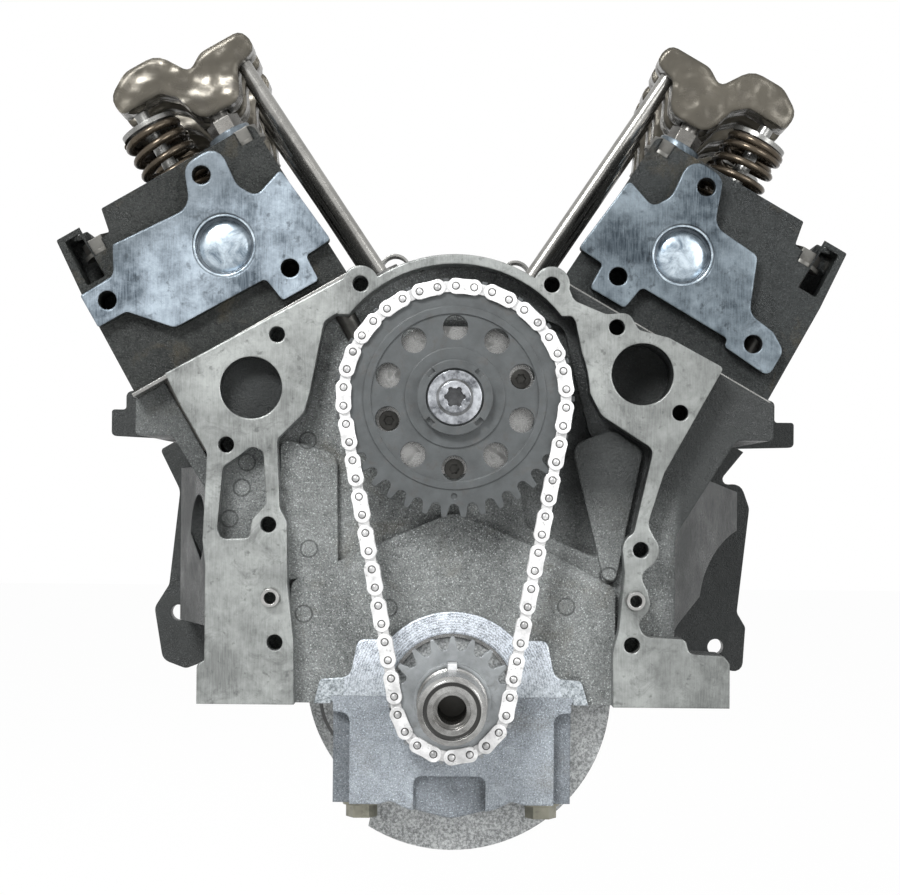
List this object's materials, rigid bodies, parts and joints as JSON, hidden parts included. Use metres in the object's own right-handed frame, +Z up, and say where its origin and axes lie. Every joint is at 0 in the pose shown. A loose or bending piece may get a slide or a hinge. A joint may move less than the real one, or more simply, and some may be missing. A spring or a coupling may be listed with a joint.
{
  "type": "engine long block",
  "caption": "V-six long block seen from its timing end: block, heads with open valve gear, crank, pistons, cam and roller timing chain.",
  "frame": {"origin": "centre of the flywheel bolt circle on the crank's rear flange face", "axes": "+Y along the crank to the rear, +Z up along the middle of the vee, +X to the right seen from the front"},
  "size_m": [0.4735, 0.454, 0.4448],
  "materials": {
    "block_iron": "oily machined and cast iron",
    "cap_iron": "dark cast iron",
    "head_iron": "oily blue-grey cast iron",
    "bolt_steel": "dark phosphated steel",
    "shell_steel": "bright steel",
    "plug_zinc": "zinc-plated steel",
    "spring_steel": "bronzed spring steel",
    "rocker_steel": "oiled brown-grey steel",
    "valve_steel": "ground steel",
    "pushrod_steel": "polished steel",
    "chain_steel": "bright steel",
    "sprocket_iron": "dark sintered iron",
    "crank_iron": "cast and ground iron",
    "rod_steel": "forged steel",
    "piston_aluminium": "cast aluminium",
    "seal_rubber": "black rubber"
  },
  "bodies": {
    "block": {"cylinder_block": "block_iron", "front_main_cap": "cap_iron", "rear_main_caps": "cap_iron", "main_cap_bolts": "bolt_steel", "main_bearing_shells": "shell_steel", "cam_bearings": "shell_steel", "cam_thrust_plate": "shell_steel", "thrust_plate_screws": "bolt_steel", "head_gaskets": "shell_steel", "left_cylinder_head": "head_iron", "right_cylinder_head": "head_iron", "head_bolts": "bolt_steel", "core_plugs": "plug_zinc", "cover_dowels": "shell_steel", "front_valve_springs": "spring_steel", "rear_valve_springs": "spring_steel", "rocker_fulcrums": "rocker_steel", "rocker_bolts": "bolt_steel", "lifter_guides": "pushrod_steel", "rear_main_seal": "seal_rubber", "chain_outer_links": "chain_steel", "chain_inner_links": "chain_steel", "rear_rocker_arms": "rocker_steel", "rear_pushrods": "pushrod_steel", "rear_lifters": "pushrod_steel", "rear_valves": "valve_steel"},
    "crank": {"crankshaft": "crank_iron", "crank_sprocket": "sprocket_iron", "crank_key": "bolt_steel"},
    "cam": {"camshaft": "crank_iron", "cam_sprocket": "sprocket_iron", "cam_sprocket_bolt": "plug_zinc"},
    "rod_1": {"connecting_rod_1": "rod_steel"},
    "piston_1": {"piston_1": "piston_aluminium"},
    "rod_2": {"connecting_rod_2": "rod_steel"},
    "piston_2": {"piston_2": "piston_aluminium"},
    "rod_3": {"connecting_rod_3": "rod_steel"},
    "piston_3": {"piston_3": "piston_aluminium"},
    "rod_4": {"connecting_rod_4": "rod_steel"},
    "piston_4": {"piston_4": "piston_aluminium"},
    "rod_5": {"connecting_rod_5": "rod_steel"},
    "piston_5": {"piston_5": "piston_aluminium"},
    "rod_6": {"connecting_rod_6": "rod_steel"},
    "piston_6": {"piston_6": "piston_aluminium"},
    "rocker_1_exhaust": {"rocker_1_exhaust": "rocker_steel"},
    "valve_1_exhaust": {"valve_1_exhaust": "valve_steel"},
    "lifter_1_exhaust": {"lifter_1_exhaust": "pushrod_steel"},
    "pushrod_1_exhaust": {"pushrod_1_exhaust": "pushrod_steel"},
    "rocker_1_intake": {"rocker_1_intake": "rocker_steel"},
    "valve_1_intake": {"valve_1_intake": "valve_steel"},
    "lifter_1_intake": {"lifter_1_intake": "pushrod_steel"},
    "pushrod_1_intake": {"pushrod_1_intake": "pushrod_steel"},
    "rocker_4_intake": {"rocker_4_intake": "rocker_steel"},
    "valve_4_intake": {"valve_4_intake": "valve_steel"},
    "lifter_4_intake": {"lifter_4_intake": "pushrod_steel"},
    "pushrod_4_intake": {"pushrod_4_intake": "pushrod_steel"},
    "rocker_4_exhaust": {"rocker_4_exhaust": "rocker_steel"},
    "valve_4_exhaust": {"valve_4_exhaust": "valve_steel"},
    "lifter_4_exhaust": {"lifter_4_exhaust": "pushrod_steel"},
    "pushrod_4_exhaust": {"pushrod_4_exhaust": "pushrod_steel"}
  },
  "joints": [
    {"name": "crank_spin", "type": "hinge", "parent": "block", "child": "crank", "pos_m": [0, 0, 0], "axis": [0, 1, 0], "range_deg": [-18.95, 18.95], "deforming": ["chain_outer_links", "chain_inner_links"]},
    {"name": "cam_spin", "type": "hinge", "parent": "block", "child": "cam", "pos_m": [0, 0, 0.15688], "axis": [0, 1, 0], "range_deg": [-9.48, 9.48]},
    {"name": "rod_1_swing", "type": "hinge", "parent": "crank", "child": "rod_1", "pos_m": [-0.02571, -0.3175, 0.03064], "axis": [0, 1, 0], "range_deg": [-24.19, 24.19]},
    {"name": "piston_1_slide", "type": "slide", "parent": "block", "child": "piston_1", "axis": [-0.5, 0, 0.866], "range_m": [-0.00287, 0.00287]},
    {"name": "rod_2_swing", "type": "hinge", "parent": "crank", "child": "rod_2", "pos_m": [0.03939, -0.2135, 0.00695], "axis": [0, 1, 0], "range_deg": [-17.1, 17.1]},
    {"name": "piston_2_slide", "type": "slide", "parent": "block", "child": "piston_2", "axis": [-0.5, 0, 0.866], "range_m": [-0.01105, 0.01105]},
    {"name": "rod_3_swing", "type": "hinge", "parent": "crank", "child": "rod_3", "pos_m": [-0.01368, -0.1095, -0.03759], "axis": [0, 1, 0], "range_deg": [-15.49, 15.49]},
    {"name": "piston_3_slide", "type": "slide", "parent": "block", "child": "piston_3", "axis": [-0.5, 0, 0.866], "range_m": [-0.0082, 0.0082]},
    {"name": "rod_4_swing", "type": "hinge", "parent": "crank", "child": "rod_4", "pos_m": [-0.03939, -0.2905, -0.00695], "axis": [0, 1, 0], "range_deg": [-15.49, 15.49]},
    {"name": "piston_4_slide", "type": "slide", "parent": "block", "child": "piston_4", "axis": [0.5, 0, 0.866], "range_m": [-0.0082, 0.0082]},
    {"name": "rod_5_swing", "type": "hinge", "parent": "crank", "child": "rod_5", "pos_m": [0.01368, -0.1865, 0.03759], "axis": [0, 1, 0], "range_deg": [-24.19, 24.19]},
    {"name": "piston_5_slide", "type": "slide", "parent": "block", "child": "piston_5", "axis": [0.5, 0, 0.866], "range_m": [-0.00287, 0.00287]},
    {"name": "rod_6_swing", "type": "hinge", "parent": "crank", "child": "rod_6", "pos_m": [0.02571, -0.0825, -0.03064], "axis": [0, 1, 0], "range_deg": [-17.1, 17.1]},
    {"name": "piston_6_slide", "type": "slide", "parent": "block", "child": "piston_6", "axis": [0.5, 0, 0.866], "range_m": [-0.01105, 0.01105]},
    {"name": "rocker_1_exhaust_rock", "type": "hinge", "parent": "block", "child": "rocker_1_exhaust", "pos_m": [-0.13583, -0.3385, 0.32226], "axis": [0, -1, 0], "range_deg": [0, 15], "stiffness_Nm_per_rad": 0.5, "springref_deg": -20.05, "deforming": ["front_valve_springs"]},
    {"name": "valve_1_exhaust_slide", "type": "slide", "parent": "block", "child": "valve_1_exhaust", "axis": [0.5, 0, -0.866], "range_m": [0, 0.01009]},
    {"name": "lifter_1_exhaust_slide", "type": "slide", "parent": "block", "child": "lifter_1_exhaust", "axis": [-0.5, 0, 0.866], "range_m": [0, 0.0066]},
    {"name": "pushrod_1_exhaust_lean", "type": "hinge", "parent": "lifter_1_exhaust", "child": "pushrod_1_exhaust", "pos_m": [-0.03905, -0.3385, 0.22452], "axis": [0, -1, 0], "range_deg": [0, 1]},
    {"name": "rocker_1_intake_rock", "type": "hinge", "parent": "block", "child": "rocker_1_intake", "pos_m": [-0.13583, -0.2965, 0.32226], "axis": [0, -1, 0], "range_deg": [0, 15], "stiffness_Nm_per_rad": 0.5, "springref_deg": -20.05, "deforming": ["front_valve_springs"]},
    {"name": "valve_1_intake_slide", "type": "slide", "parent": "block", "child": "valve_1_intake", "axis": [0.5, 0, -0.866], "range_m": [0, 0.01009]},
    {"name": "lifter_1_intake_slide", "type": "slide", "parent": "block", "child": "lifter_1_intake", "axis": [-0.5, 0, 0.866], "range_m": [0, 0.0066]},
    {"name": "pushrod_1_intake_lean", "type": "hinge", "parent": "lifter_1_intake", "child": "pushrod_1_intake", "pos_m": [-0.03905, -0.2965, 0.22452], "axis": [0, -1, 0], "range_deg": [0, 1]},
    {"name": "rocker_4_intake_rock", "type": "hinge", "parent": "block", "child": "rocker_4_intake", "pos_m": [0.13583, -0.3115, 0.32226], "axis": [0, 1, 0], "range_deg": [0, 15], "stiffness_Nm_per_rad": 0.5, "springref_deg": -20.05, "deforming": ["front_valve_springs"]},
    {"name": "valve_4_intake_slide", "type": "slide", "parent": "block", "child": "valve_4_intake", "axis": [-0.5, 0, -0.866], "range_m": [0, 0.01009]},
    {"name": "lifter_4_intake_slide", "type": "slide", "parent": "block", "child": "lifter_4_intake", "axis": [0.5, 0, 0.866], "range_m": [0, 0.0066]},
    {"name": "pushrod_4_intake_lean", "type": "hinge", "parent": "lifter_4_intake", "child": "pushrod_4_intake", "pos_m": [0.03905, -0.3115, 0.22452], "axis": [0, 1, 0], "range_deg": [0, 1]},
    {"name": "rocker_4_exhaust_rock", "type": "hinge", "parent": "block", "child": "rocker_4_exhaust", "pos_m": [0.13583, -0.2695, 0.32226], "axis": [0, 1, 0], "range_deg": [0, 15], "stiffness_Nm_per_rad": 0.5, "springref_deg": -20.05, "deforming": ["front_valve_springs"]},
    {"name": "valve_4_exhaust_slide", "type": "slide", "parent": "block", "child": "valve_4_exhaust", "axis": [-0.5, 0, -0.866], "range_m": [0, 0.01009]},
    {"name": "lifter_4_exhaust_slide", "type": "slide", "parent": "block", "child": "lifter_4_exhaust", "axis": [0.5, 0, 0.866], "range_m": [0, 0.0066]},
    {"name": "pushrod_4_exhaust_lean", "type": "hinge", "parent": "lifter_4_exhaust", "child": "pushrod_4_exhaust", "pos_m": [0.03905, -0.2695, 0.22452], "axis": [0, 1, 0], "range_deg": [0, 1]}
  ],
  "couplings": [
    {"joint": "cam_spin", "follows": "crank_spin", "ratio": 0.5},
    {"joint": "rod_1_swing", "follows": "crank_spin", "ratio": -1.2758},
    {"joint": "piston_1_slide", "follows": "crank_spin", "m_per_rad": 0.0086368},
    {"joint": "rod_2_swing", "follows": "crank_spin", "ratio": -0.90123},
    {"joint": "piston_2_slide", "follows": "crank_spin", "m_per_rad": -0.033394},
    {"joint": "rod_3_swing", "follows": "crank_spin", "ratio": -0.81638},
    {"joint": "piston_3_slide", "follows": "crank_spin", "m_per_rad": 0.024758},
    {"joint": "rod_4_swing", "follows": "crank_spin", "ratio": -0.81638},
    {"joint": "piston_4_slide", "follows": "crank_spin", "m_per_rad": 0.024758},
    {"joint": "rod_5_swing", "follows": "crank_spin", "ratio": -1.2758},
    {"joint": "piston_5_slide", "follows": "crank_spin", "m_per_rad": 0.0086368},
    {"joint": "rod_6_swing", "follows": "crank_spin", "ratio": -0.90123},
    {"joint": "piston_6_slide", "follows": "crank_spin", "m_per_rad": -0.033394},
    {"joint": "valve_1_exhaust_slide", "follows": "rocker_1_exhaust_rock", "m_per_rad": 0.03846},
    {"joint": "lifter_1_exhaust_slide", "follows": "rocker_1_exhaust_rock", "m_per_rad": 0.025138},
    {"joint": "pushrod_1_exhaust_lean", "follows": "rocker_1_exhaust_rock", "ratio": 0.066577},
    {"joint": "valve_1_intake_slide", "follows": "rocker_1_intake_rock", "m_per_rad": 0.03846},
    {"joint": "lifter_1_intake_slide", "follows": "rocker_1_intake_rock", "m_per_rad": 0.025138},
    {"joint": "pushrod_1_intake_lean", "follows": "rocker_1_intake_rock", "ratio": 0.066577},
    {"joint": "valve_4_intake_slide", "follows": "rocker_4_intake_rock", "m_per_rad": 0.03846},
    {"joint": "lifter_4_intake_slide", "follows": "rocker_4_intake_rock", "m_per_rad": 0.025138},
    {"joint": "pushrod_4_intake_lean", "follows": "rocker_4_intake_rock", "ratio": 0.066577},
    {"joint": "valve_4_exhaust_slide", "follows": "rocker_4_exhaust_rock", "m_per_rad": 0.03846},
    {"joint": "lifter_4_exhaust_slide", "follows": "rocker_4_exhaust_rock", "m_per_rad": 0.025138},
    {"joint": "pushrod_4_exhaust_lean", "follows": "rocker_4_exhaust_rock", "ratio": 0.066577}
  ]
}
